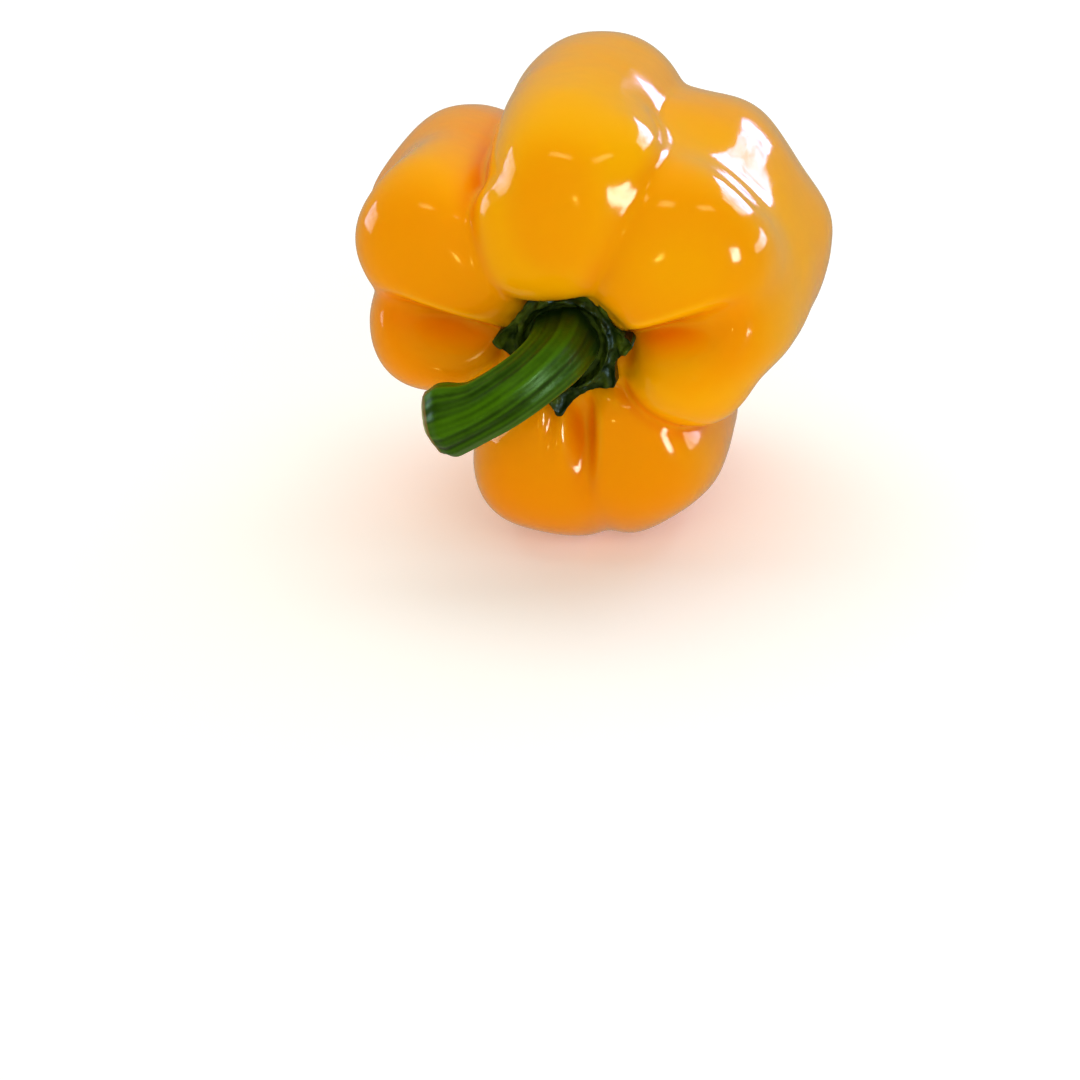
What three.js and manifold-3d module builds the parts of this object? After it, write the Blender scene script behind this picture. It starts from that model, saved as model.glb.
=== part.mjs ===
// Bell pepper lying on its side: the lobed fruit, the calyx in its stem cavity and the bent stem.
// Millimetres, +Z up. The stem end looks along -Y, turned a little towards -X.
import * as THREE from 'three';
import { mergeVertices } from 'three/addons/utils/BufferGeometryUtils.js';
import Module from 'manifold-3d';

// How the pepper lies
const AXIS_YAW = 9; // degrees that the stem end is turned from -Y towards -X
const AXIS_PITCH = 4; // degrees that the stem end is raised
const FRUIT_PLACE = new THREE.Vector3(5.151, 44.706, 38.8); // where the blossom end of the axis lies

// The fruit's lobes, in its own frame: the axis is z, from the blossom end to the stem end.
// crown: degrees round the axis, 0 to the right and 90 up, seen from the stem end
// reach: how far the flank is from the axis; depth: half the lobe's radial size
// breadth: half its width; half: half its length; centre: its middle along the axis
// lean: degrees that its stem end is tilted outwards
const TOP = { crown: 91.5, reach: 46, depth: 21.5, breadth: 17, half: 41.5, centre: 42, lean: 3 };
const UPPER_MIDDLE = { crown: 61, reach: 40, depth: 20, breadth: 13.5, half: 38.5, centre: 40, lean: 3 };
const UPPER_RIGHT = { crown: 39, reach: 44.8, depth: 20.5, breadth: 15.3, half: 40.5, centre: 41, lean: 2 };
const RIGHT_MIDDLE = { crown: 20, reach: 42.8, depth: 20, breadth: 12.5, half: 36.5, centre: 36.5, lean: 0 };
const LOWER_RIGHT = { crown: 4, reach: 42.4, depth: 20, breadth: 12.4, half: 39.5, centre: 40, lean: -3 };
const LOW_RIGHT = { crown: -61, reach: 42.2, depth: 19.5, breadth: 13.6, half: 37, centre: 38, lean: 0 };
const LOW_LEFT = { crown: -100, reach: 42.6, depth: 20, breadth: 13.8, half: 37, centre: 38, lean: 0 };
const LOWER_LEFT = { crown: 184, reach: 38, depth: 19.5, breadth: 12.5, half: 38, centre: 39, lean: 2 };
const UPPER_LEFT = { crown: 148, reach: 45.5, depth: 21, breadth: 14.5, half: 39, centre: 40, lean: 3 };
const LOBE_ROUNDNESS = 2.2; // exponent of a lobe's cross-section: 2 is an ellipse
const BLOSSOM_END_SQUARENESS = 2.5; // exponent along its length, away from the stem
const TAPER_LIMIT = 1.3; // shares of the half length where the taper stops
const WEDGE_START = 3; // a lobe is no narrower than this far from the axis

// How strongly a lobe narrows towards the axis and widens away from it, how much wider it is at
// its stem end, and the exponent along its length towards the stem
const WEDGE = { pinch: 1.1, spread: 0.3, taper: 0.06, squareness: 3.3 };
const BOXY_WEDGE = { ...WEDGE, squareness: 3.7 };
const STRAIGHT_OUTSIDE = { ...WEDGE, spread: 0 };
const SLENDER = { pinch: 0, spread: 0, taper: -0.12, squareness: 3.3 };

// Rounded shoulders at the stem end: degrees round the axis, how far the middle is from the axis,
// its height, half the radial size, half the width and half the length
const TOP_SHOULDER = {
  angle: 99.5, radius: 20.5, height: 73.5, depth: 12.4, breadth: 13, half: 9, squareness: 2.6,
};
const TOP_SIDE_SHOULDER = {
  angle: 73, radius: 28.5, height: 66.5, depth: 13.5, breadth: 8, half: 12.8, squareness: 2.4,
};
const UPPER_RIGHT_SHOULDER = {
  angle: 38, radius: 25.5, height: 70, depth: 12.5, breadth: 11.5, half: 11.8, squareness: 2.3,
};
const LOWER_RIGHT_SHOULDER = {
  angle: -12, radius: 22.8, height: 67, depth: 12, breadth: 11.2, half: 13, squareness: 2.2,
};
const OVERHANG_SOFTNESS = 0.6;

// Lobes that share a flank melt into each other; the number is the softness of their fold
const FLANKS = [
  {
    lobes: [
      [UPPER_MIDDLE, STRAIGHT_OUTSIDE],
      [UPPER_RIGHT, BOXY_WEDGE],
      [RIGHT_MIDDLE, STRAIGHT_OUTSIDE],
      [LOWER_RIGHT, STRAIGHT_OUTSIDE],
    ],
    shoulders: [UPPER_RIGHT_SHOULDER, LOWER_RIGHT_SHOULDER],
    softness: 1.4,
  },
  { lobes: [[LOW_RIGHT, WEDGE], [LOW_LEFT, WEDGE]], shoulders: [], softness: 0.9 },
  { lobes: [[LOWER_LEFT, WEDGE], [UPPER_LEFT, WEDGE]], shoulders: [], softness: 1.2 },
  { lobes: [[TOP, SLENDER]], shoulders: [TOP_SIDE_SHOULDER], softness: 2.2 },
];
const CREASE_SOFTNESS = 0.6;

// The round middle that keeps the creases shallow on the flanks
const CORE_RADIUS = 34.5;
const CORE_CENTRE = 37;
const CORE_HALF = 35;
const CORE_SQUARENESS = 2.5;

// Folds pressed into the stem end along straight lines: the two ends of the line across the axis,
// the depth, and the width on the left and on the right of the line
const FOLDS = [
  { start: [7.5, -1.2], end: [35.2, 11.7], depth: 3.2, leftWidth: 2, rightWidth: 6 },
  { start: [-7.5, -1.8], end: [-37.5, 7.5], depth: 3.2, leftWidth: 6, rightWidth: 2 },
  { start: [4, -9], end: [4.4, -33], depth: 1.5, leftWidth: 1.6, rightWidth: 3 },
  { start: [-1.5, -9.5], end: [-3, -25], depth: 1, leftWidth: 1.4, rightWidth: 1.2 },
];
const FOLD_START_FADE = 4; // how far a fold deepens at its inner end
const FOLD_END_FADE = 18; // how far it flattens out at its outer end

// The bowl that the stem stands in
const BOWL_RADIUS = 12;
const BOWL_CENTRE = new THREE.Vector3(0.5, -1, 87);
const BOWL_HALF = 15.5;
const BOWL_SQUARENESS = 3.2;
const BOWL_SOFTNESS = 1.2;

// Swellings and dents of the flanks: degrees round the axis, height, rise, spread in degrees and in mm
const SWELLS = [
  { angle: 15, height: 34, rise: 3.5, spread: 12, length: 18 },
  { angle: 166, height: 32, rise: 3, spread: 10, length: 18 },
  { angle: 45, height: 61, rise: -4.6, spread: 22, length: 12 },
  { angle: 150, height: 52, rise: -4.2, spread: 20, length: 15 },
  { angle: 66, height: 36, rise: 1.2, spread: 11, length: 20 },
  { angle: -79, height: 50, rise: 4.8, spread: 12, length: 22 },
  { angle: 50, height: 36, rise: 1, spread: 12, length: 25 },
  { angle: 186, height: 30, rise: 2, spread: 30, length: 20 },
];
const SWELL_FADE_START = 6; // swellings begin this far from the axis
const SWELL_FADE_LENGTH = 12;

// Calyx, measured from the floor of the bowl
const SEAT_HEIGHT = 71; // floor of the bowl along the axis
const CALYX_GAP = 0.3; // clear space to the fruit and to the stem
const CALYX_TIPS = [
  { angle: -36, reach: 12 },
  { angle: 5, reach: 13 },
  { angle: 57, reach: 11.6 },
  { angle: 118, reach: 10.8 },
  { angle: 178, reach: 12.6 },
  { angle: 222, reach: 12.4 },
  { angle: 268, reach: 13 },
];
const CALYX_WAIST = 9.8; // radius between two tips
const CALYX_TIP_SPREAD = 11; // degrees
const CALYX_TIP_LENGTH = 3; // a tip this much longer than the waist rises fully
const CALYX_TOP_SHARE = 0.75; // share of the skin's rows that lie on the upper side
const CALYX_CENTRE = new THREE.Vector2(0, -0.6);
const CALYX_FLOOR = 2.2; // height under the stem
const CALYX_FLOOR_RADIUS = 7.1;
const CALYX_COLLAR = 3.9; // height of the ring round the stem
const CALYX_COLLAR_RADIUS = 8.2;
const CALYX_BRIM = 3.2; // height outside the ring
const CALYX_BRIM_RADIUS = 9.2;
const CALYX_TIP_RISE = 2.2; // further rise of a tip that lies in a crease
const CALYX_DEPTH = -6; // where the uncut body ends, inside the fruit

// Stem, along its middle line from the floor of the bowl
const STEM_BASE_GAP = 0.3;
const STEM_PATH = [
  new THREE.Vector3(0, 0, CALYX_FLOOR + STEM_BASE_GAP),
  new THREE.Vector3(0.1, -0.2, 7),
  new THREE.Vector3(-1.4, -1.4, 13),
  new THREE.Vector3(-6.2, -4.7, 17.6),
  new THREE.Vector3(-13, -8.8, 18.8),
  new THREE.Vector3(-20.6, -11.4, 18.2),
];
const STEM_BASE_RADIUS = 6.3;
const STEM_WAIST_RADIUS = 5.4;
const STEM_END_RADIUS = 7.4;
const STEM_FLARE_START = 0.72; // share of the length where the cut end begins to flare
const STEM_ROUNDING = 0.18; // share of the radius lost at the rim of the cut
const STEM_ROUNDING_START = 0.88; // share of the length where it begins
const STEM_RIDGES = 5;
const STEM_RIDGE_DEPTH = 0.055; // share of the radius
const STEM_TWIST = 40; // degrees from base to end
const STEM_CUT_BULGE = 1.9; // the cut face bulges out
const STEM_CAP_SHARE = 0.12; // share of the skin's rows that lie on each end face

// Fineness of the surfaces
const FRUIT_AROUND = 88;
const FRUIT_ALONG = 60;
const CALYX_AROUND = 56;
const CALYX_ALONG = 20;
const STEM_AROUND = 30;
const STEM_ALONG = 30;
const STEM_STEPS = 120; // along the middle line
const RAY_STEP = 1.5;
const RAY_LIMIT = 90;
const RAY_HALVINGS = 24;

// The fruit's surface is sought along rays from a ring inside it
const HEART_RADIUS = 20;
const HEART_HEIGHT = 42;

const radians = THREE.MathUtils.degToRad;

// Smallest of some values, with a rounded change from one to the next
function softMin(values, softness) {
  const least = Math.min(...values);
  const sum = values.reduce((total, value) => total + Math.exp((least - value) / softness), 0);
  return least - softness * Math.log(sum);
}

// Signed angle in degrees from the second direction to the first, between -180 and 180
function turnBetween(first, second) {
  return THREE.MathUtils.euclideanModulo(first - second + 180, 360) - 180;
}

// Radius of a point in a rounded box whose sides are 1 away
function boxRadius(across, along, roundness, squareness) {
  return (across ** (squareness / roundness) + Math.abs(along) ** squareness) ** (1 / squareness);
}

// Distance, about, from a point to a lobe's surface; inside it is negative
function lobeDistance(point, lobe, shape) {
  const crown = radians(lobe.crown);
  const lean = radians(lobe.lean);
  const outward = point.x * Math.cos(crown) + point.y * Math.sin(crown);
  const sideways = point.y * Math.cos(crown) - point.x * Math.sin(crown);
  const middle = lobe.reach - lobe.depth;
  const fromMiddle = outward - middle;
  const fromCentre = point.z - lobe.centre;
  const along = (fromCentre * Math.cos(lean) + fromMiddle * Math.sin(lean)) / lobe.half;
  const radial = fromMiddle * Math.cos(lean) - fromCentre * Math.sin(lean);
  const taper = 1 + shape.taper * THREE.MathUtils.clamp(along, -TAPER_LIMIT, TAPER_LIMIT);
  const share = Math.max(outward, WEDGE_START) / middle;
  const breadth = lobe.breadth * taper * share ** (share < 1 ? shape.pinch : shape.spread);
  const across = Math.abs(radial / (lobe.depth * taper)) ** LOBE_ROUNDNESS
    + Math.abs(sideways / breadth) ** LOBE_ROUNDNESS;
  const squareness = along > 0 ? shape.squareness : BLOSSOM_END_SQUARENESS;
  const size = (lobe.depth + lobe.breadth) / 2;
  return (boxRadius(across, along, LOBE_ROUNDNESS, squareness) - 1) * size;
}

// Distance, about, from a point to a shoulder's surface
function shoulderDistance(point, { angle, radius, height, depth, breadth, half, squareness }) {
  const outward = point.x * Math.cos(radians(angle)) + point.y * Math.sin(radians(angle));
  const sideways = point.y * Math.cos(radians(angle)) - point.x * Math.sin(radians(angle));
  const across = Math.abs((outward - radius) / depth) ** squareness
    + Math.abs(sideways / breadth) ** squareness;
  const box = boxRadius(across, (point.z - height) / half, squareness, squareness);
  return (box - 1) * (depth + breadth) / 2;
}

// How far a fold presses the surface in at some point
function foldDepth(point, { start, end, depth, leftWidth, rightWidth }) {
  const { smoothstep } = THREE.MathUtils;
  const origin = new THREE.Vector2(...start);
  const line = new THREE.Vector2(...end).sub(origin);
  const length = line.length();
  const fromStart = new THREE.Vector2(point.x, point.y).sub(origin);
  const onward = fromStart.dot(line) / length;
  const sideways = line.cross(fromStart) / length;
  const width = sideways > 0 ? leftWidth : rightWidth;
  const begun = smoothstep(onward, 0, FOLD_START_FADE);
  const ended = smoothstep(onward, length - FOLD_END_FADE, length);
  return depth * Math.exp(-((sideways / width) ** 2)) * begun * (1 - ended);
}

// Distance, about, from a point to a flank's surface
function flankDistance(point, { lobes, shoulders, softness }) {
  const lobeParts = lobes.map(([lobe, shape]) => lobeDistance(point, lobe, shape));
  const shoulderParts = shoulders.map((shoulder) => shoulderDistance(point, shoulder));
  return softMin([...lobeParts, ...shoulderParts], softness);
}

// Distance, about, to a round barrel about the axis
function barrelDistance(point, radius, centre, half, squareness) {
  const across = ((point.x - centre.x) ** 2 + (point.y - centre.y) ** 2) / radius ** 2;
  return (boxRadius(across, (point.z - centre.z) / half, 2, squareness) - 1) * radius;
}

// Moves a point inwards where the flank swells and outwards where it is dented
function unswell(point) {
  const radius = Math.hypot(point.x, point.y);
  const angle = THREE.MathUtils.radToDeg(Math.atan2(point.y, point.x));
  let rise = 0;
  for (const swell of SWELLS) {
    const turn = turnBetween(angle, swell.angle);
    const climb = point.z - swell.height;
    rise += swell.rise * Math.exp(-((turn / swell.spread) ** 2) - (climb / swell.length) ** 2);
  }
  const fade = THREE.MathUtils.clamp((radius - SWELL_FADE_START) / SWELL_FADE_LENGTH, 0, 1);
  const scale = 1 - rise * fade / Math.max(radius, SWELL_FADE_START);
  return new THREE.Vector3(point.x * scale, point.y * scale, point.z);
}

// Distance, about, from a point to the fruit's skin; inside it is negative
function fruitDistance(point) {
  const plain = unswell(point);
  const flanks = FLANKS.map((flank) => flankDistance(plain, flank));
  const coreCentre = new THREE.Vector3(0, 0, CORE_CENTRE);
  const core = barrelDistance(plain, CORE_RADIUS, coreCentre, CORE_HALF, CORE_SQUARENESS);
  const folds = FOLDS.reduce((total, fold) => total + foldDepth(plain, fold), 0);
  const body = softMin([...flanks, core], CREASE_SOFTNESS) + folds;
  const bowl = barrelDistance(plain, BOWL_RADIUS, BOWL_CENTRE, BOWL_HALF, BOWL_SQUARENESS);
  const hollowed = -softMin([-body, bowl], BOWL_SOFTNESS);
  return softMin([hollowed, shoulderDistance(point, TOP_SHOULDER)], OVERHANG_SOFTNESS);
}

// First point along a ray where the fruit's skin, grown by some gap, is crossed
function skinPoint(start, direction, limit, gap) {
  const at = (distance) => start.clone().addScaledVector(direction, distance);
  let near = 0;
  let far = Math.min(RAY_STEP, limit);
  while (far < limit && fruitDistance(at(far)) < gap) {
    near = far;
    far = Math.min(far + RAY_STEP, limit);
  }
  for (let i = 0; i < RAY_HALVINGS; i += 1) {
    const half = (near + far) / 2;
    if (fruitDistance(at(half)) < gap) near = half;
    else far = half;
  }
  return at((near + far) / 2);
}

// A closed skin from pole to pole: a sphere whose vertices go where place(turn, way) says,
// turn in radians round the axis and way from 0 at the first pole to 1 at the last
function closedSkin(around, along, place) {
  const geometry = new THREE.SphereGeometry(1, around, along);
  geometry.deleteAttribute('normal');
  geometry.deleteAttribute('uv');
  const position = geometry.getAttribute('position');
  const point = new THREE.Vector3();
  for (let i = 0; i < position.count; i += 1) {
    point.fromBufferAttribute(position, i);
    const way = Math.acos(THREE.MathUtils.clamp(point.y, -1, 1)) / Math.PI;
    const turn = Math.atan2(-point.z, point.x);
    const isPole = way < 1e-4 || way > 1 - 1e-4;
    const placed = place(isPole ? 0 : turn, isPole ? Math.round(way) : way);
    position.setXYZ(i, placed.x, placed.y, placed.z);
  }
  return mergeVertices(geometry, 1e-4);
}

// The fruit's skin, grown by some gap, in the fruit's own frame
function fruitGeometry(gap) {
  const up = new THREE.Vector3(0, 0, 1);
  const middle = new THREE.Vector3(0, 0, HEART_HEIGHT);
  const top = skinPoint(middle, up, RAY_LIMIT, gap);
  const bottom = skinPoint(middle, up.clone().negate(), RAY_LIMIT, gap);
  const first = Math.atan2(top.z - HEART_HEIGHT, -HEART_RADIUS);
  const last = Math.atan2(bottom.z - HEART_HEIGHT, -HEART_RADIUS);
  return closedSkin(FRUIT_AROUND, FRUIT_ALONG, (turn, way) => {
    if (way === 0) return top;
    if (way === 1) return bottom;
    const slope = THREE.MathUtils.lerp(first, last, way);
    const outward = new THREE.Vector3(Math.cos(turn), Math.sin(turn), 0);
    const start = outward.clone().multiplyScalar(HEART_RADIUS).addScaledVector(up, HEART_HEIGHT);
    const direction = outward.multiplyScalar(Math.cos(slope)).addScaledVector(up, Math.sin(slope));
    const limit = Math.cos(slope) < 0 ? HEART_RADIUS / -Math.cos(slope) : RAY_LIMIT;
    return skinPoint(start, direction, limit, gap);
  });
}

// Radius of the calyx's outline in some direction
function calyxRim(turn) {
  let rim = CALYX_WAIST;
  for (const tip of CALYX_TIPS) {
    const away = turnBetween(THREE.MathUtils.radToDeg(turn), tip.angle);
    const nearness = Math.exp(-(Math.abs(away / CALYX_TIP_SPREAD) ** 1.5));
    rim = Math.max(rim, CALYX_WAIST + (tip.reach - CALYX_WAIST) * nearness);
  }
  return rim;
}

// Height of the calyx's upper side at some share of the way to its rim
function calyxHeight(radius, rim) {
  const { smoothstep, lerp } = THREE.MathUtils;
  if (radius < CALYX_COLLAR_RADIUS) {
    return lerp(CALYX_FLOOR, CALYX_COLLAR, smoothstep(radius, CALYX_FLOOR_RADIUS, CALYX_COLLAR_RADIUS));
  }
  const brim = lerp(CALYX_COLLAR, CALYX_BRIM, smoothstep(radius, CALYX_COLLAR_RADIUS, CALYX_BRIM_RADIUS));
  const climb = Math.max(radius - CALYX_BRIM_RADIUS, 0) / (rim - CALYX_BRIM_RADIUS + 1e-6);
  const pointed = THREE.MathUtils.clamp((rim - CALYX_WAIST) / CALYX_TIP_LENGTH, 0, 1);
  return brim + CALYX_TIP_RISE * climb * climb * pointed;
}

// The calyx before it is cut to the bowl: its upper side, then straight down at the rim
function calyxBlank() {
  return closedSkin(CALYX_AROUND, CALYX_ALONG, (turn, way) => {
    const rim = calyxRim(turn);
    const isTop = way <= CALYX_TOP_SHARE;
    const radius = rim * (isTop ? way / CALYX_TOP_SHARE : (1 - way) / (1 - CALYX_TOP_SHARE));
    const height = isTop ? calyxHeight(radius, rim) : CALYX_DEPTH;
    return new THREE.Vector3(
      CALYX_CENTRE.x + radius * Math.cos(turn),
      CALYX_CENTRE.y + radius * Math.sin(turn),
      SEAT_HEIGHT + height,
    );
  });
}

// Solid of a closed mesh, for joins and cuts
function toSolid(wasm, geometry) {
  const vertProperties = new Float32Array(geometry.getAttribute('position').array);
  const triVerts = new Uint32Array(geometry.getIndex().array);
  return new wasm.Manifold(new wasm.Mesh({ numProp: 3, vertProperties, triVerts }));
}

// Geometry of a solid
function fromSolid(solid) {
  const mesh = solid.getMesh();
  const geometry = new THREE.BufferGeometry();
  geometry.setAttribute('position', new THREE.BufferAttribute(new Float32Array(mesh.vertProperties), 3));
  geometry.setIndex(new THREE.BufferAttribute(new Uint32Array(mesh.triVerts), 1));
  return geometry;
}

// The calyx lies on the bowl and in the creases round it
function calyxGeometry(wasm) {
  return fromSolid(toSolid(wasm, calyxBlank()).subtract(toSolid(wasm, fruitGeometry(CALYX_GAP))));
}

// Radius of the stem at some share of its length
function stemRadius(share) {
  const { smoothstep, lerp } = THREE.MathUtils;
  const waist = lerp(STEM_BASE_RADIUS, STEM_WAIST_RADIUS, smoothstep(share, 0, 0.5));
  const flared = lerp(waist, STEM_END_RADIUS, smoothstep(share, STEM_FLARE_START, 1));
  return flared * (1 - STEM_ROUNDING * smoothstep(share, STEM_ROUNDING_START, 1) ** 2);
}

// The stem: its cut face, its ridged side and its base, from the cut end to the base
function stemGeometry() {
  const path = new THREE.CatmullRomCurve3(STEM_PATH);
  const frames = path.computeFrenetFrames(STEM_STEPS, false);
  return closedSkin(STEM_AROUND, STEM_ALONG, (turn, way) => {
    const sideWay = (way - STEM_CAP_SHARE) / (1 - 2 * STEM_CAP_SHARE);
    const share = 1 - THREE.MathUtils.clamp(sideWay, 0, 1);
    const step = Math.round(share * STEM_STEPS);
    const centre = path.getPointAt(share);
    const twist = radians(STEM_TWIST) * share;
    const ridge = 1 + STEM_RIDGE_DEPTH * Math.cos(STEM_RIDGES * (turn + twist));
    const fill = Math.min(way, 1 - way, STEM_CAP_SHARE) / STEM_CAP_SHARE;
    const radius = stemRadius(share) * ridge * fill;
    const bulge = way < STEM_CAP_SHARE ? STEM_CUT_BULGE * (1 - fill * fill) : 0;
    return centre
      .addScaledVector(frames.normals[step], radius * Math.cos(turn))
      .addScaledVector(frames.binormals[step], radius * Math.sin(turn))
      .addScaledVector(frames.tangents[step], bulge);
  });
}

// Presses what would be below the ground flat against it
function flattenOnGround(geometry) {
  const position = geometry.getAttribute('position');
  for (let i = 0; i < position.count; i += 1) {
    position.setZ(i, Math.max(position.getZ(i), 0));
  }
  return geometry;
}

const skin = new THREE.MeshStandardMaterial({ color: 0xf0a40e, roughness: 0.22, metalness: 0 });
const calyxGreen = new THREE.MeshStandardMaterial({ color: 0x2c4a16, roughness: 0.6, metalness: 0 });
const stemGreen = new THREE.MeshStandardMaterial({ color: 0x3f7a18, roughness: 0.45, metalness: 0 });

const wasm = await Module();
wasm.setup();

// The fruit's own frame, laid on its side
const lying = new THREE.Group();
lying.rotation.set(radians(90 - AXIS_PITCH), 0, radians(-AXIS_YAW), 'ZYX');
lying.position.copy(FRUIT_PLACE);
lying.updateMatrixWorld();

const fruit = new THREE.Mesh(flattenOnGround(fruitGeometry(0).applyMatrix4(lying.matrixWorld)), skin);
fruit.name = 'fruit';

const calyx = new THREE.Mesh(calyxGeometry(wasm), calyxGreen);
calyx.name = 'calyx';
lying.add(calyx);

const stem = new THREE.Mesh(stemGeometry(), stemGreen);
stem.name = 'stem';
stem.position.z = SEAT_HEIGHT;
lying.add(stem);

const bellPepper = new THREE.Group();
bellPepper.add(fruit, lying);

export default bellPepper;
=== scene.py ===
"""Looks of a bell pepper that lies on its side: glossy lobed fruit, bumpy calyx and bent stem.

Metres, +Z up. The fruit's own frame has its axis along z, from the blossom end to the stem end,
and FruitPose lays it on the ground.
"""

import logging
import math
from dataclasses import dataclass, field
from enum import Enum
from typing import Callable, Optional, Union

import bpy
import numpy as np
from mathutils import Matrix, Vector


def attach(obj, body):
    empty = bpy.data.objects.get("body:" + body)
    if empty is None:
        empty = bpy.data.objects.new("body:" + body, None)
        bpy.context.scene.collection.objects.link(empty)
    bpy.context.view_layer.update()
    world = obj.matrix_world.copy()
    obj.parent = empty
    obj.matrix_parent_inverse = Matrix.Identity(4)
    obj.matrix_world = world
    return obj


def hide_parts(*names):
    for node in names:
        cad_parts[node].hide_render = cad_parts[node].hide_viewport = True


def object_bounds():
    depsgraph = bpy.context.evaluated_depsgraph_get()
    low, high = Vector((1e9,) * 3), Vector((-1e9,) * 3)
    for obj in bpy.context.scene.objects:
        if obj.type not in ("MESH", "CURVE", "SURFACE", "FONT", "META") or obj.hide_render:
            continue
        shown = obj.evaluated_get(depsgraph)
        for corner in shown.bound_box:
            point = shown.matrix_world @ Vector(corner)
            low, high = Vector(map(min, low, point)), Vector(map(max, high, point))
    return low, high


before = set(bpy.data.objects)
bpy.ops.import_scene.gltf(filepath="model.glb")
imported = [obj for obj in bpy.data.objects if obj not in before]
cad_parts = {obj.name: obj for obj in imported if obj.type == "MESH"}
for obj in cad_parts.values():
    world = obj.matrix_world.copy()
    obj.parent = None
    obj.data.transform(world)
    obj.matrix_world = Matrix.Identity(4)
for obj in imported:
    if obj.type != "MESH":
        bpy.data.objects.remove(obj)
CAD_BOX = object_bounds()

LOG = logging.getLogger("bell_pepper")
ROOT_BODY = "root"
TAPER_LIMIT = 1.3  # shares of a lobe's half length where its taper stops
WEDGE_START = 0.003  # this near to the axis a lobe narrows no further
WAVES = 9  # crossing in an irregular pattern
TINY = 1e-9  # keeps divisions from meeting zero

Colour = tuple[float, float, float, float]


def smooth_step(values: np.ndarray, start: float, end: float) -> np.ndarray:
    """Rises smoothly from 0 at start to 1 at end.

    Args:
        values: the places to look at.
        start: where the rise begins.
        end: where the rise is over.

    Returns:
        The share of the rise at each place.
    """
    share = np.clip((values - start) / (end - start), 0.0, 1.0)
    return share * share * (3.0 - 2.0 * share)


def soft_min(values: list[np.ndarray], softness: float) -> np.ndarray:
    """Smallest of some values, with a rounded change from one to the next.

    Args:
        values: arrays of one shape.
        softness: about how far the rounding reaches.

    Returns:
        An array of the same shape.
    """
    stack = np.stack(values)
    least = stack.min(axis=0)
    return least - softness * np.log(np.exp((least - stack) / softness).sum(axis=0))


def turn_between(first: np.ndarray, second: float) -> np.ndarray:
    """Signed angle in degrees from second to first, between -180 and 180."""
    return (first - second + 180.0) % 360.0 - 180.0


def wander(points: np.ndarray, size: float, seed: int) -> np.ndarray:
    """A gentle irregular pattern in space, made of a few crossing waves.

    Args:
        points: places, one per row.
        size: length of the waves.
        seed: picks the waves.

    Returns:
        A value between about -1 and 1 at each place.
    """
    draw = np.random.default_rng(seed)
    total = np.zeros(len(points))
    for _ in range(WAVES):
        direction = draw.normal(size=3)
        direction /= np.linalg.norm(direction)
        length = size * draw.uniform(0.7, 1.6)
        total += np.sin(points @ direction * (2.0 * math.pi / length) + draw.uniform(0.0, 2.0 * math.pi))
    return total / math.sqrt(WAVES * 2.0)


def rows_at(shares: np.ndarray, known: np.ndarray, rows: np.ndarray) -> np.ndarray:
    """Reads a table's rows at some shares, in between the known ones too."""
    return np.stack([np.interp(shares, known, column) for column in rows.T], axis=1)


@dataclass(frozen=True)
class Lobe:
    """One lobe of the fruit: a long rounded box that leans along the axis.

    Args:
        crown: degrees round the axis, 0 to the right and 90 up, seen from the stem end.
        reach: how far the flank is from the axis.
        depth: half the radial size.
        breadth: half the width.
        half: half the length.
        centre: the middle along the axis.
        lean: degrees that the stem end is tilted outwards.
        pinch: how strongly it narrows towards the axis.
        roundness: exponent of its cross-section, 2 for an ellipse.
        stem_squareness: exponent along its length, towards the stem.
        blossom_squareness: exponent along its length, away from the stem.
        taper: how much wider it is at its stem end.
        wedge: how strongly it widens away from the axis.
    """

    crown: float
    reach: float
    depth: float
    breadth: float
    half: float
    centre: float
    lean: float
    pinch: float = 1.1
    roundness: float = 2.2
    stem_squareness: float = 3.3
    blossom_squareness: float = 2.5
    taper: float = 0.06
    wedge: float = 0.3

    def distance(self, points: np.ndarray) -> np.ndarray:
        """About how far each point is from the lobe's surface.

        Args:
            points: places, one per row.

        Returns:
            A distance per point, negative inside.
        """
        crown = math.radians(self.crown)
        lean = math.radians(self.lean)
        outward = points[..., 0] * math.cos(crown) + points[..., 1] * math.sin(crown)
        sideways = points[..., 1] * math.cos(crown) - points[..., 0] * math.sin(crown)
        middle = self.reach - self.depth
        from_middle = outward - middle
        from_centre = points[..., 2] - self.centre
        along = (from_centre * math.cos(lean) + from_middle * math.sin(lean)) / self.half
        radial = from_middle * math.cos(lean) - from_centre * math.sin(lean)
        taper = 1.0 + self.taper * np.clip(along, -TAPER_LIMIT, TAPER_LIMIT)
        share = np.maximum(outward, WEDGE_START) / middle
        wedge = np.where(share < 1.0, share**self.pinch, share**self.wedge)
        across = np.abs(radial / (self.depth * taper)) ** self.roundness
        across += np.abs(sideways / (self.breadth * taper * wedge)) ** self.roundness
        squareness = np.where(along > 0.0, self.stem_squareness, self.blossom_squareness)
        box = across ** (squareness / self.roundness) + np.abs(along) ** squareness
        return (box ** (1.0 / squareness) - 1.0) * (self.depth + self.breadth) / 2.0


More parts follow.
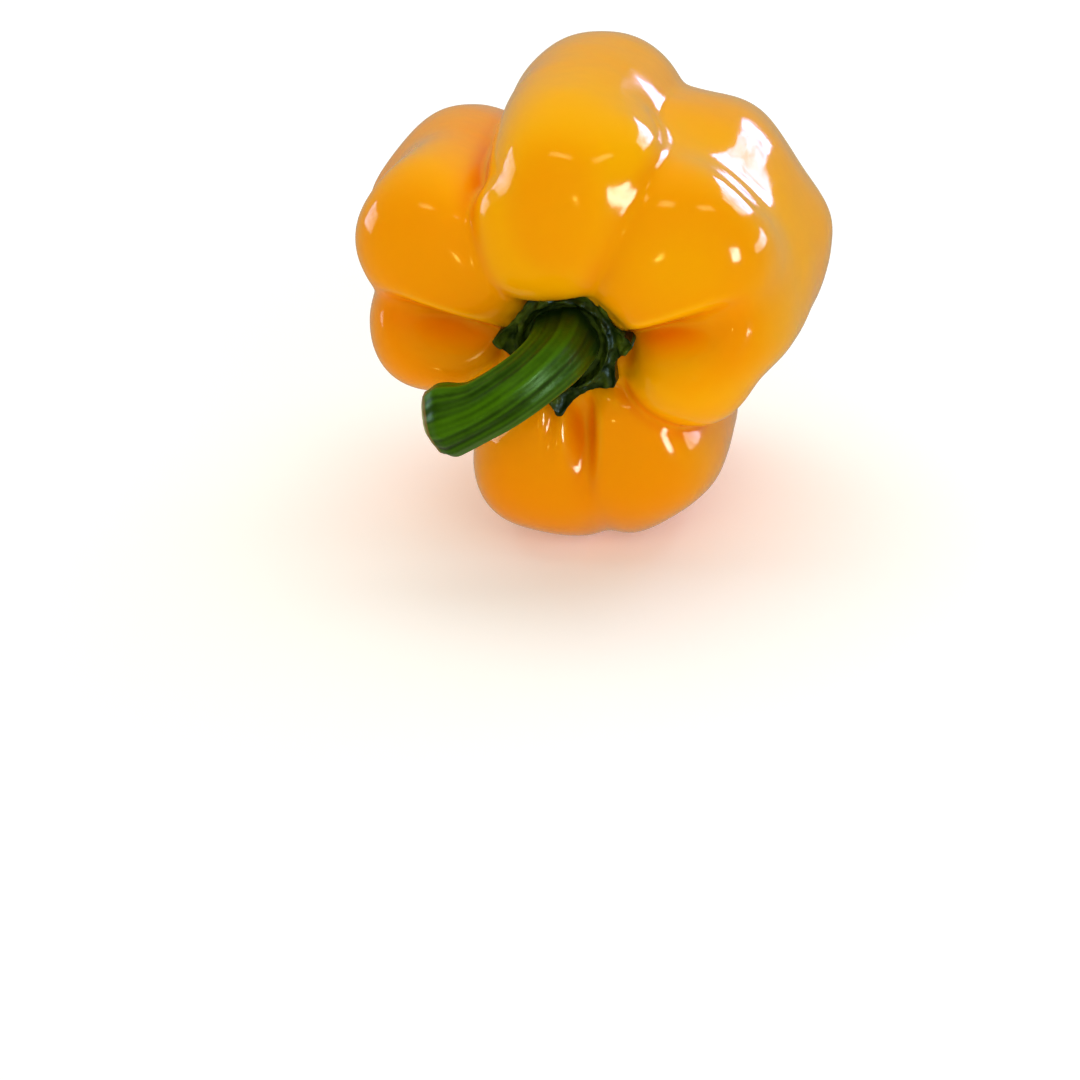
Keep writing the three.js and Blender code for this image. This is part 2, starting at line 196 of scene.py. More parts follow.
@dataclass(frozen=True)
class Knob:
    """A rounded shoulder at the stem end of a lobe.

    Args:
        angle: degrees round the axis.
        radius: how far its middle is from the axis.
        height: its middle along the axis.
        depth: half the radial size.
        breadth: half the width.
        half: half the length along the axis.
        squareness: exponent of its shape, 2 for an egg.
    """

    angle: float
    radius: float
    height: float
    depth: float
    breadth: float
    half: float
    squareness: float = 2.3

    def distance(self, points: np.ndarray) -> np.ndarray:
        """About how far each point is from the knob's surface.

        Args:
            points: places, one per row.

        Returns:
            A distance per point, negative inside.
        """
        angle = math.radians(self.angle)
        outward = points[..., 0] * math.cos(angle) + points[..., 1] * math.sin(angle) - self.radius
        sideways = points[..., 1] * math.cos(angle) - points[..., 0] * math.sin(angle)
        box = np.abs(outward / self.depth) ** self.squareness
        box += np.abs(sideways / self.breadth) ** self.squareness
        box += np.abs((points[..., 2] - self.height) / self.half) ** self.squareness
        return (box ** (1.0 / self.squareness) - 1.0) * (self.depth + self.breadth) / 2.0


@dataclass(frozen=True)
class Flank:
    """Lobes that melt into each other."""

    lobes: tuple[Union[Lobe, Knob], ...]
    softness: float

    def distance(self, points: np.ndarray) -> np.ndarray:
        """About how far each point is from the flank's surface."""
        return soft_min([lobe.distance(points) for lobe in self.lobes], self.softness)


@dataclass(frozen=True)
class Barrel:
    """A round barrel along the axis.

    Args:
        radius: its radius.
        half: half its length.
        squareness: exponent of its shape, 2 for a ball.
        centre: its middle.
    """

    radius: float
    half: float
    squareness: float
    centre: tuple[float, float, float]

    def distance(self, points: np.ndarray) -> np.ndarray:
        """About how far each point is from the barrel's surface.

        Args:
            points: places, one per row.

        Returns:
            A distance per point, negative inside.
        """
        from_centre = points - np.array(self.centre)
        across = (from_centre[..., 0] ** 2 + from_centre[..., 1] ** 2) / self.radius**2
        along = np.abs(from_centre[..., 2] / self.half) ** self.squareness
        return ((across ** (self.squareness / 2.0) + along) ** (1.0 / self.squareness) - 1.0) * self.radius


@dataclass(frozen=True)
class Fold:
    """A fold between two lobes, pressed into the stem end along a straight line.

    Args:
        start: its inner end, across the axis.
        end: its outer end.
        depth: how deep it is pressed.
        left_width: how wide it is on the left of its line.
        right_width: how wide it is on the right of its line.
        start_fade: how far it deepens at its inner end.
        end_fade: how far it flattens out at its outer end.
    """

    start: tuple[float, float]
    end: tuple[float, float]
    depth: float
    left_width: float
    right_width: float
    start_fade: float = 0.004
    end_fade: float = 0.018

    def press(self, points: np.ndarray) -> np.ndarray:
        """How far the surface is pressed in at each point.

        Args:
            points: places, one per row.

        Returns:
            A depth per point.
        """
        length = math.dist(self.start, self.end)
        line = (np.array(self.end) - self.start) / length
        from_start = points[..., :2] - self.start
        onward = from_start @ line
        sideways = from_start @ np.array([-line[1], line[0]])
        width = np.where(sideways > 0.0, self.left_width, self.right_width)
        begun = smooth_step(onward, 0.0, self.start_fade)
        ended = smooth_step(onward, length - self.end_fade, length)
        return self.depth * np.exp(-((sideways / width) ** 2)) * begun * (1.0 - ended)


@dataclass(frozen=True)
class Swell:
    """A soft swelling of the flank, or a dent where the rise is negative.

    Args:
        angle: degrees round the axis.
        height: its middle along the axis.
        rise: how high it is.
        spread: how wide it is, in degrees.
        length: how long it is along the axis.
    """

    angle: float
    height: float
    rise: float
    spread: float
    length: float

    def rise_at(self, angles: np.ndarray, heights: np.ndarray) -> np.ndarray:
        """How far the skin is lifted at some angles in degrees and heights along the axis."""
        turn = turn_between(angles, self.angle) / self.spread
        return self.rise * np.exp(-(turn**2) - ((heights - self.height) / self.length) ** 2)


TOP = Lobe(
    crown=91.5, reach=0.046, depth=0.0215, breadth=0.017, half=0.0415, centre=0.042, lean=3,
    pinch=0.0, wedge=0.0, taper=-0.12,
)
UPPER_MIDDLE = Lobe(
    crown=61, reach=0.04, depth=0.02, breadth=0.0135, half=0.0385, centre=0.04, lean=3, wedge=0.0,
)
RIGHT_MIDDLE = Lobe(
    crown=20, reach=0.0428, depth=0.02, breadth=0.0125, half=0.0365, centre=0.0365, lean=0, wedge=0.0,
)
UPPER_RIGHT = Lobe(
    crown=39, reach=0.0448, depth=0.0205, breadth=0.0153, half=0.0405, centre=0.041, lean=2,
    stem_squareness=3.7,
)
LOWER_RIGHT = Lobe(
    crown=4, reach=0.0424, depth=0.02, breadth=0.0124, half=0.0395, centre=0.04, lean=-3, wedge=0.0,
)
LOW_RIGHT = Lobe(crown=-61, reach=0.0422, depth=0.0195, breadth=0.0136, half=0.037, centre=0.038, lean=0)
LOW_LEFT = Lobe(crown=-100, reach=0.0426, depth=0.02, breadth=0.0138, half=0.037, centre=0.038, lean=0)
LOWER_LEFT = Lobe(crown=184, reach=0.038, depth=0.0195, breadth=0.0125, half=0.038, centre=0.039, lean=2)
UPPER_LEFT = Lobe(crown=148, reach=0.0455, depth=0.021, breadth=0.0145, half=0.039, centre=0.04, lean=3)
TOP_KNOB = Knob(
    angle=99.5, radius=0.0205, height=0.0735, depth=0.0124, breadth=0.013, half=0.009, squareness=2.6,
)
TOP_SIDE_KNOB = Knob(
    angle=73, radius=0.0285, height=0.0665, depth=0.0135, breadth=0.008, half=0.0128, squareness=2.4,
)
UPPER_RIGHT_KNOB = Knob(
    angle=38, radius=0.0255, height=0.07, depth=0.0125, breadth=0.0115, half=0.0118,
)
LOWER_RIGHT_KNOB = Knob(
    angle=-12, radius=0.0228, height=0.067, depth=0.012, breadth=0.0112, half=0.013, squareness=2.2,
)


@dataclass(frozen=True)
class FruitForm:
    """The fruit's skin as a field: the lobes, the middle that they grow round and the stem's bowl."""

    flanks: tuple[Flank, ...] = (
        Flank((
            UPPER_MIDDLE, UPPER_RIGHT, RIGHT_MIDDLE, LOWER_RIGHT, UPPER_RIGHT_KNOB, LOWER_RIGHT_KNOB,
        ), 0.0014),
        Flank((LOW_RIGHT, LOW_LEFT), 0.0009),
        Flank((LOWER_LEFT, UPPER_LEFT), 0.0012),
        Flank((TOP, TOP_SIDE_KNOB), 0.0022),
    )
    crease_softness: float = 0.0006
    folds: tuple[Fold, ...] = (
        Fold((0.0075, -0.0012), (0.0352, 0.0117), depth=0.0032, left_width=0.002, right_width=0.006),
        Fold((-0.0075, -0.0018), (-0.0375, 0.0075), depth=0.0032, left_width=0.006, right_width=0.002),
        Fold((0.004, -0.009), (0.0044, -0.033), depth=0.0015, left_width=0.0016, right_width=0.003),
        Fold((-0.0015, -0.0095), (-0.003, -0.025), depth=0.001, left_width=0.0014, right_width=0.0012),
    )
    core: Barrel = Barrel(radius=0.0345, half=0.035, squareness=2.5, centre=(0.0, 0.0, 0.037))
    bowl: Barrel = Barrel(radius=0.012, half=0.0155, squareness=3.2, centre=(0.0005, -0.001, 0.087))
    bowl_softness: float = 0.0012
    overhang: Knob = TOP_KNOB
    overhang_softness: float = 0.0006
    swells: tuple[Swell, ...] = (
        Swell(angle=15, height=0.034, rise=0.0035, spread=12, length=0.018),
        Swell(angle=166, height=0.032, rise=0.003, spread=10, length=0.018),
        Swell(angle=45, height=0.061, rise=-0.0046, spread=22, length=0.012),
        Swell(angle=150, height=0.052, rise=-0.0042, spread=20, length=0.015),
        Swell(angle=66, height=0.036, rise=0.0012, spread=11, length=0.02),
        Swell(angle=-79, height=0.05, rise=0.0048, spread=12, length=0.022),
        Swell(angle=50, height=0.036, rise=0.001, spread=12, length=0.025),
        Swell(angle=186, height=0.03, rise=0.002, spread=30, length=0.02),
    )
    swell_fade_start: float = 0.006
    swell_fade_length: float = 0.012
    heart_radius: float = 0.02
    heart_height: float = 0.042
    ray_step: float = 0.0015
    ray_limit: float = 0.075
    halvings: int = 15
    pole_share: float = 1e-5
    shelter_steps: tuple[float, ...] = (0.0015, 0.004, 0.008)

    def unswell(self, points: np.ndarray) -> np.ndarray:
        """Moves points inwards where the flank swells and outwards where it is dented.

        Args:
            points: places, one per row.

        Returns:
            The moved points.
        """
        radii = np.hypot(points[..., 0], points[..., 1])
        angles = np.degrees(np.arctan2(points[..., 1], points[..., 0]))
        rise = sum(swell.rise_at(angles, points[..., 2]) for swell in self.swells)
        fade = np.clip((radii - self.swell_fade_start) / self.swell_fade_length, 0.0, 1.0)
        scale = 1.0 - rise * fade / np.maximum(radii, self.swell_fade_start)
        plain = points.copy()
        plain[..., 0] *= scale
        plain[..., 1] *= scale
        return plain

    def distance(self, points: np.ndarray) -> np.ndarray:
        """About how far each point is from the skin.

        Args:
            points: places, one per row.

        Returns:
            A distance per point, negative inside.
        """
        plain = self.unswell(points)
        parts = [flank.distance(plain) for flank in self.flanks] + [self.core.distance(plain)]
        body = soft_min(parts, self.crease_softness)
        body = body + sum(fold.press(plain) for fold in self.folds)
        hollowed = -soft_min([-body, self.bowl.distance(plain)], self.bowl_softness)
        return soft_min([hollowed, self.overhang.distance(points)], self.overhang_softness)

    def along_rays(self, starts: np.ndarray, directions: np.ndarray, limits: np.ndarray) -> np.ndarray:
        """First points along some rays where the skin is crossed.

        Args:
            starts: where the rays begin, inside the fruit.
            directions: their directions.
            limits: how far they may go.

        Returns:
            One point per ray.
        """
        near = np.zeros(len(starts))
        far = limits.copy()
        open_rays = np.ones(len(starts), dtype=bool)
        for step in range(1, int(self.ray_limit / self.ray_step) + 1):
            rays = np.flatnonzero(open_rays)
            if not len(rays):
                break
            reach = np.minimum(step * self.ray_step, limits[rays])
            outside = self.distance(starts[rays] + directions[rays] * reach[:, None]) > 0.0
            ended = outside | (reach >= limits[rays])
            far[rays[ended]] = reach[ended]
            near[rays[~ended]] = reach[~ended]
            open_rays[rays[ended]] = False
        for _ in range(self.halvings):
            middle = (near + far) / 2.0
            inside = self.distance(starts + directions * middle[:, None]) < 0.0
            near = np.where(inside, middle, near)
            far = np.where(inside, far, middle)
        return starts + directions * ((near + far) / 2.0)[:, None]

    def axis_point(self, upwards: bool) -> np.ndarray:
        """Where the axis leaves the skin, at the stem end or at the blossom end."""
        ray = np.array([[[0.0, 0.0, self.heart_height]], [[0.0, 0.0, 1.0 if upwards else -1.0]]])
        return self.along_rays(ray[0], ray[1], np.array([self.ray_limit]))[0]

    def skin_points(self, turns: np.ndarray, ways: np.ndarray) -> np.ndarray:
        """Places on the skin.

        Args:
            turns: radians round the axis.
            ways: 0 at the floor of the bowl, 1 at the blossom end.

        Returns:
            One point per turn and way.
        """
        top = self.axis_point(True)
        bottom = self.axis_point(False)
        first = math.atan2(top[2] - self.heart_height, -self.heart_radius)
        last = math.atan2(bottom[2] - self.heart_height, -self.heart_radius)
        slopes = first + (last - first) * ways
        outward = np.stack([np.cos(turns), np.sin(turns), np.zeros_like(turns)], axis=1)
        upward = np.array([0.0, 0.0, 1.0])
        starts = outward * self.heart_radius + upward * self.heart_height
        directions = outward * np.cos(slopes)[:, None] + upward * np.sin(slopes)[:, None]
        inward = np.minimum(np.cos(slopes), -TINY)
        limits = np.where(np.cos(slopes) < 0.0, -self.heart_radius / inward, self.ray_limit)
        placed = self.along_rays(starts, directions, limits)
        placed[ways < self.pole_share] = top
        placed[ways > 1.0 - self.pole_share] = bottom
        return placed

    def shelter(self, points: np.ndarray, normals: np.ndarray) -> np.ndarray:
        """How deep in a crease each point of the skin lies, from 0 in the open to 1."""
        closed = [1.0 - self.distance(points + normals * step) / step for step in self.shelter_steps]
        return np.mean(np.clip(closed, 0.0, 1.0), axis=0)


@dataclass(frozen=True)
class FruitPose:
    """How the fruit's own frame is laid on its side in the part's frame."""

    place: tuple[float, float, float] = (0.005151, 0.044706, 0.0388)
    yaw: float = 9.0
    pitch: float = 4.0

    def matrix(self) -> Matrix:
        """The fruit's own frame in the part's frame."""
        place = Matrix.Translation(self.place) @ Matrix.Rotation(math.radians(-self.yaw), 4, "Z")
        return place @ Matrix.Rotation(math.radians(90.0 - self.pitch), 4, "X")

    def to_part(self, points: np.ndarray) -> np.ndarray:
        """Moves points from the fruit's own frame to the part's frame."""
        matrix = np.array(self.matrix())
        return points @ matrix[:3, :3].T + matrix[:3, 3]


POSE = FruitPose()
FORM = FruitForm()
SEAT_HEIGHT = 0.071


Number = Union["Value", float]


@dataclass
class Value:
    """A number that a material works out at each place, with sums that add Math nodes."""

    sheet: "NodeSheet"
    socket: bpy.types.NodeSocket

    def _math(self, operation: str, first: Number, second: Number) -> "Value":
        """Adds a Math node."""
        made = self.sheet.node("ShaderNodeMath", {"operation": operation}, {0: first, 1: second})
        return Value(self.sheet, made.outputs[0])

    def __add__(self, other: Number) -> "Value":
        """The sum."""
        return self._math("ADD", self, other)

    __radd__ = __add__

    def __mul__(self, other: Number) -> "Value":
        """The product."""
        return self._math("MULTIPLY", self, other)

    __rmul__ = __mul__

    def __sub__(self, other: Number) -> "Value":
        """The difference."""
        return self._math("SUBTRACT", self, other)

    def __rsub__(self, other: Number) -> "Value":
        """The difference from a number."""
        return self._math("SUBTRACT", other, self)

    def ramp(self, start: float, end: float) -> "Value":
        """Rises from 0 at start to 1 at end, and stays within 0 and 1.

        Args:
            start: value where the rise begins.
            end: value where it is over.

        Returns:
            The risen value.
        """
        inputs = {"Value": self, "From Min": start, "From Max": end}
        made = self.sheet.node("ShaderNodeMapRange", {"interpolation_type": "SMOOTHSTEP"}, inputs)
        return Value(self.sheet, made.outputs["Result"])


Input = Union[Value, bpy.types.NodeSocket, tuple]


class NodeSheet:
    """The nodes of one material."""

    # A Mix node's sockets for colours
    MIX_SHARE: int = 0
    MIX_FIRST: int = 6
    MIX_SECOND: int = 7
    MIX_COLOUR: int = 2

    def __init__(self, name: str) -> None:
        """Starts an empty material.

        Args:
            name: the material's name.
        """
        self.material = bpy.data.materials.new(name)
        self.material.use_nodes = True
        self.tree = self.material.node_tree
        self.tree.nodes.clear()
        self.place = self.node("ShaderNodeTexCoord").outputs["Object"]

    def node(
        self, kind: str, settings: Optional[dict] = None, inputs: Optional[dict] = None
    ) -> bpy.types.Node:
        """Adds a node.

        Args:
            kind: the node's type.
            settings: its own settings, set first.
            inputs: values or links of its sockets, by name or number.

        Returns:
            The node.
        """
        made = self.tree.nodes.new(kind)
        for key, setting in (settings or {}).items():
            setattr(made, key, setting)
        for key, given in (inputs or {}).items():
            socket = given.socket if isinstance(given, Value) else given
            if isinstance(socket, bpy.types.NodeSocket):
                self.tree.links.new(socket, made.inputs[key])
            else:
                made.inputs[key].default_value = socket
        return made

    def noise(self, scale: float, detail: float, roughness: float = 0.5) -> Value:
        """An irregular pattern between 0 and 1; scale is in lumps per metre."""
        inputs = {"Vector": self.place, "Scale": scale, "Detail": detail, "Roughness": roughness}
        return Value(self, self.node("ShaderNodeTexNoise", None, inputs).outputs["Fac"])

    def attribute(self, name: str) -> Value:
        """A number that the piece's mesh holds at each of its points."""
        return Value(self, self.node("ShaderNodeAttribute", {"attribute_name": name}).outputs["Fac"])

    def mix(self, share: Number, first: Input, second: Input) -> bpy.types.NodeSocket:
        """Goes from the first colour to the second as the share rises from 0 to 1.

        Args:
            share: how much of the second colour there is.
            first: the first colour.
            second: the second colour.

        Returns:
            The mixed colour.
        """
        inputs = {self.MIX_SHARE: share, self.MIX_FIRST: first, self.MIX_SECOND: second}
        made = self.node("ShaderNodeMix", {"data_type": "RGBA"}, inputs)
        return made.outputs[self.MIX_COLOUR]

    def bump(self, height: Value, depth: float) -> bpy.types.NodeSocket:
        """Turns a height between 0 and 1 into a normal; depth is in metres."""
        inputs = {"Height": height, "Distance": depth, "Strength": 1.0}
        return self.node("ShaderNodeBump", None, inputs).outputs["Normal"]

    def surface(self, inputs: dict) -> bpy.types.Material:
        """Ends the material with a Principled surface.

        Args:
            inputs: values or links of the surface's sockets.

        Returns:
            The material.
        """
        shader = self.node("ShaderNodeBsdfPrincipled", None, inputs)
        self.node("ShaderNodeOutputMaterial", None, {"Surface": shader.outputs[0]})
        return self.material


@dataclass(frozen=True)
class SkinFinish:
    """The fruit's glossy waxy skin: yellow on the bulges, with random orange patches, and painted shade:
    orange on the flanks and the lower left side, deeper orange in the creases.
    """

    yellow: Colour = (0.93, 0.44, 0.0, 1.0)
    orange: Colour = (0.9, 0.28, 0.0, 1.0)
    # painted shade: the deeper orange that darkens the creases
    crease_shade: Colour = (0.82, 0.16, 0.0, 1.0)
    scar: Colour = (0.22, 0.09, 0.015, 1.0)
    patch_scale: float = 28.0
    grain_scale: float = 900.0
    ripple_scale: float = 160.0
    ripple_depth: float = 0.00012
    # painted shade: how strongly the flanks, away from the stem end, are painted orange
    flank_shade_share: float = 0.3
    patch_share: float = 0.4
    # painted shade: how strongly the side away from the light is painted orange
    painted_shade_share: float = 0.7
    yellow_share: float = 0.2
    crease_shade_share: float = 0.8

    def material(self) -> bpy.types.Material:
        """Makes the finish.

        Returns:
            The material.
        """
        sheet = NodeSheet("pepper_skin")
        cloud = sheet.noise(self.patch_scale, detail=3.0)
        # painted shade: the flanks towards the blossom end are painted more orange than the knobs at the
        # stem end
        flank = 1.0 - sheet.attribute("along").ramp(0.55, 1.0)
        # painted shade: the lower left side, away from the light, is painted more orange
        shade = 1.0 - sheet.attribute("painted_light")
        # orange share: random patches, which are the skin's own tone, plus painted shade on the flanks and
        # the lower left side
        tone_and_shade = flank * self.flank_shade_share + cloud * self.patch_share + shade * self.painted_shade_share
        tone_and_shade = tone_and_shade - self.yellow_share
        tone = sheet.mix(tone_and_shade.ramp(0.0, 1.0), self.yellow, self.orange)
        # painted shade: the deeper a point lies in the creases, the more painted shade it gets
        shelter = sheet.attribute("shelter").ramp(0.22, 0.95)
        tone = sheet.mix(shelter * self.crease_shade_share, tone, self.crease_shade)
        grain = sheet.noise(self.grain_scale, detail=3.0)
        dry = (sheet.attribute("scar") * 1.3 + grain * 0.8 - 0.9).ramp(0.0, 0.6)
        tone = sheet.mix(dry, tone, self.scar)
        ripple = sheet.noise(self.ripple_scale, detail=2.0, roughness=0.4)
        return sheet.surface({
            "Base Color": tone,
            "Roughness": 0.06 + cloud * 0.08,
            "Specular IOR Level": 0.45,
            "Specular Tint": (1.0, 0.8, 0.15, 1.0),
            "Subsurface Weight": 0.18,
            "Subsurface Radius": (0.9, 0.35, 0.03),
            "Subsurface Scale": 0.005,
            "Normal": sheet.bump(ripple, self.ripple_depth),
        })


@dataclass(frozen=True)
class CalyxFinish:
    """The calyx: dull dark green with lighter knobs."""

    dark: Colour = (0.004, 0.014, 0.001, 1.0)
    light: Colour = (0.07, 0.11, 0.003, 1.0)
    knob_scale: float = 420.0
    knob_depth: float = 0.0004
    raised_share: float = 0.7
    knob_share: float = 0.35

    def material(self) -> bpy.types.Material:
        """Makes the finish.

        Returns:
            The material.
        """
        sheet = NodeSheet("calyx_green")
        knobs = sheet.noise(self.knob_scale, detail=3.0)
        raised = sheet.attribute("raised").ramp(0.25, 1.0)
        light = raised * self.raised_share + knobs.ramp(0.45, 0.75) * self.knob_share
        tone = sheet.mix(light, self.dark, self.light)
        return sheet.surface({
            "Base Color": tone,
            "Roughness": 0.34 + knobs * 0.2,
            "Specular IOR Level": 0.35,
            "Specular Tint": (0.7, 1.0, 0.3, 1.0),
            "Subsurface Weight": 0.05,
            "Subsurface Radius": (0.3, 0.6, 0.1),
            "Subsurface Scale": 0.001,
            "Normal": sheet.bump(knobs, self.knob_depth),
        })


@dataclass(frozen=True)
class StemFinish:
    """The stem: mid green ridges and darker furrows, which are painted light and shade, a base darkened by
    painted shade, and a dry brown rim at the cut.
    """

    # painted shade: the dark green of the furrows
    furrow_shade: Colour = (0.005, 0.026, 0.0, 1.0)
    # painted light: the lighter green of the ridges
    ridge: Colour = (0.04, 0.13, 0.0, 1.0)
    # painted shade: near-black green where the stem leaves the calyx, under the fruit's top lobe
    base: Colour = (0.003, 0.014, 0.001, 1.0)
    dry: Colour = (0.2, 0.13, 0.045, 1.0)
    pith: Colour = (0.33, 0.36, 0.12, 1.0)
    mottle_scale: float = 350.0
    mottle_depth: float = 0.00015
    # painted light and shade: how much the ridge heights lighten the ridges and darken the furrows
    ridge_shading_share: float = 0.55
    strand_share: float = 0.45
    mottle_share: float = 0.5
    dark_share: float = 0.25
    # painted shade: the share of the length, from the calyx end, that is darkened
    base_shade_length: float = 0.38

    def material(self) -> bpy.types.Material:
        """Makes the finish.

        Returns:
            The material.
        """
        sheet = NodeSheet("stem_green")
        mottle = sheet.noise(self.mottle_scale, detail=4.0, roughness=0.6)
        height = sheet.attribute("raised")
        strand = sheet.attribute("strand")
        # painted light and shade from the ridge heights, plus the stem's own strands and mottling
        light = height * self.ridge_shading_share + strand * self.strand_share + mottle * self.mottle_share
        tone = sheet.mix((light - self.dark_share).ramp(0.0, 1.0), self.furrow_shade, self.ridge)
        # painted shade: darker towards the calyx end of the stem
        tone = sheet.mix(1.0 - sheet.attribute("along").ramp(0.0, self.base_shade_length), tone, self.base)
        rim = sheet.attribute("rim")
        tone = sheet.mix((rim * 1.4 + mottle * 0.8 - 0.9).ramp(0.0, 1.0), tone, self.dry)
        tone = sheet.mix(sheet.attribute("cut").ramp(0.3, 0.7), tone, self.pith)
        return sheet.surface({
            "Base Color": tone,
            "Roughness": 0.26 + mottle * 0.25,
            "Specular IOR Level": 0.36,
            "Specular Tint": (0.6, 1.0, 0.1, 1.0),
            "Subsurface Weight": 0.08,
            "Subsurface Radius": (0.3, 0.7, 0.1),
            "Subsurface Scale": 0.002,
            "Normal": sheet.bump(mottle, self.mottle_depth),
        })


@dataclass(frozen=True)
class FloorFinish:
    """A plain pale floor."""

    tone: Colour = (0.9, 0.9, 0.89, 1.0)
    glow: float = 0.24

    def material(self) -> bpy.types.Material:
        """Makes the finish."""
        return NodeSheet("floor_white").surface({
            "Base Color": self.tone,
            "Roughness": 0.6,
            "Emission Color": self.tone,
            "Emission Strength": self.glow,
        })


@dataclass(frozen=True)
class WindowFinish:
    """A bright window with something blurred outside."""

    bright: Colour
    strength: float
    dimming: float = 0.3
    streak_scale: float = 11.0

    def material(self) -> bpy.types.Material:
        """Makes the finish.

        Returns:
            The material.
        """
        sheet = NodeSheet("window_white")
        cloud = sheet.noise(self.streak_scale, detail=6.0, roughness=0.75)
        dim = tuple(channel * self.dimming for channel in self.bright[:3]) + (1.0,)
        return sheet.surface({
            "Base Color": dim,
            "Emission Color": sheet.mix(cloud.ramp(0.38, 0.55), dim, self.bright),
            "Emission Strength": self.strength,
        })


class Slot(Enum):
    """The record's material slots."""

    SKIN = "pepper_skin"
    CALYX = "calyx_green"
    STEM = "stem_green"


Placer = Callable[[np.ndarray, np.ndarray], np.ndarray]


class SkinMesh:
    """A closed skin from pole to pole, modelled on a sphere whose points are moved into place."""

    def __init__(self, name: str, around: int, along: int, placer: Placer) -> None:
        """Adds the sphere and moves its points.

        Args:
            name: the piece's name.
            around: faces round the sphere.
            along: faces from pole to pole.
            placer: gives the places for turns in radians and ways from 0 to 1.
        """
        bpy.ops.mesh.primitive_uv_sphere_add(
            segments=around, ring_count=along, radius=1.0, location=(0.0, 0.0, 0.0)
        )
        self.piece = bpy.context.object
        self.piece.name = name
        self.piece.data.name = name
        start = self.read("co")
        self.turns = np.arctan2(start[:, 1], start[:, 0])
        self.ways = np.arccos(np.clip(start[:, 2], -1.0, 1.0)) / math.pi
        self.places = placer(self.turns, self.ways)
        self.write(self.places)

    def read(self, what: str) -> np.ndarray:
        """Reads one vector per point of the mesh.

        Args:
            what: "co" for the places or "vector" for the outward directions.

        Returns:
            One vector per row.
        """
        values = np.empty(len(self.piece.data.vertices) * 3)
        source = self.piece.data.vertices if what == "co" else self.piece.data.vertex_normals
        source.foreach_get(what, values)
        return values.reshape(-1, 3)

    def write(self, places: np.ndarray) -> None:
        """Puts the mesh's points at some places."""
        self.piece.data.vertices.foreach_set("co", places.ravel())
        self.piece.data.update()

    def lay_down(self, pose: FruitPose) -> None:
        """Moves the mesh from the fruit's own frame to the part's frame, within the part's box."""
        self.write(np.clip(pose.to_part(self.read("co")), *np.array(CAD_BOX)))

    def remember(self, name: str, values: np.ndarray) -> None:
        """Keeps a number at each point for the finish to read."""
        made = self.piece.data.attributes.new(name, "FLOAT", "POINT")
        made.data.foreach_set("value", values.astype(np.float32))

    def finish(self, material: bpy.types.Material, slot: Slot, node: str) -> None:
        """Dresses the piece and ties it to the frame.

        Args:
            material: its finish.
            slot: not used.
            node: the node that it stands for.
        """
        self.piece.data.shade_smooth()
        self.piece.data.materials.append(material)
        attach(self.piece, ROOT_BODY)
        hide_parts(node)


@dataclass
class Fruit:
    """The lobed fruit, solid and whole."""

    form: FruitForm = FORM
    pose: FruitPose = POSE
    around: int = 340
    along: int = 260
    wobble: float = 0.00012
    wobble_size: float = 0.016
    scar_radius: float = 0.0016
    scar_limit: float = 0.02
    # painted light: a ramp that gets lighter to the right and upwards; the finish paints shade where it is
    # low
    painted_light_middle: float = 0.1
    painted_light_right: float = 6.0
    painted_light_up: float = 9.0
    finish: SkinFinish = field(default_factory=SkinFinish)

    def build(self) -> bpy.types.Object:
        """Models and dresses the fruit.

        Returns:
            The piece.
        """
        mesh = SkinMesh("pepper_fruit", self.around, self.along, self.form.skin_points)
        normals = mesh.read("vector")
        lift = wander(mesh.places, self.wobble_size, seed=4)
        mesh.remember("shelter", self.form.shelter(mesh.places, normals))
        mesh.remember("along", mesh.places[:, 2] / SEAT_HEIGHT)
        off_axis = np.hypot(mesh.places[:, 0], mesh.places[:, 1]) / self.scar_radius
        mesh.remember("scar", np.exp(-(off_axis**2)) * (mesh.places[:, 2] < self.scar_limit))
        mesh.write(mesh.places + normals * ((lift - 1.0) * self.wobble)[:, None])
        mesh.lay_down(self.pose)
        placed = mesh.read("co")
        # painted light and shade: lighter towards the upper right, where the light comes from, darker
        # towards the lower left
        painted_light = self.painted_light_middle + placed[:, 0] * self.painted_light_right + placed[:, 2] * self.painted_light_up
        mesh.remember("painted_light", np.clip(painted_light, 0.0, 1.0))
        mesh.finish(self.finish.material(), Slot.SKIN, "fruit")
        return mesh.piece


@dataclass(frozen=True)
class Tip:
    """One pointed tip of the calyx.

    Args:
        angle: degrees round the axis.
        reach: how far it is from the axis.
    """

    angle: float
    reach: float


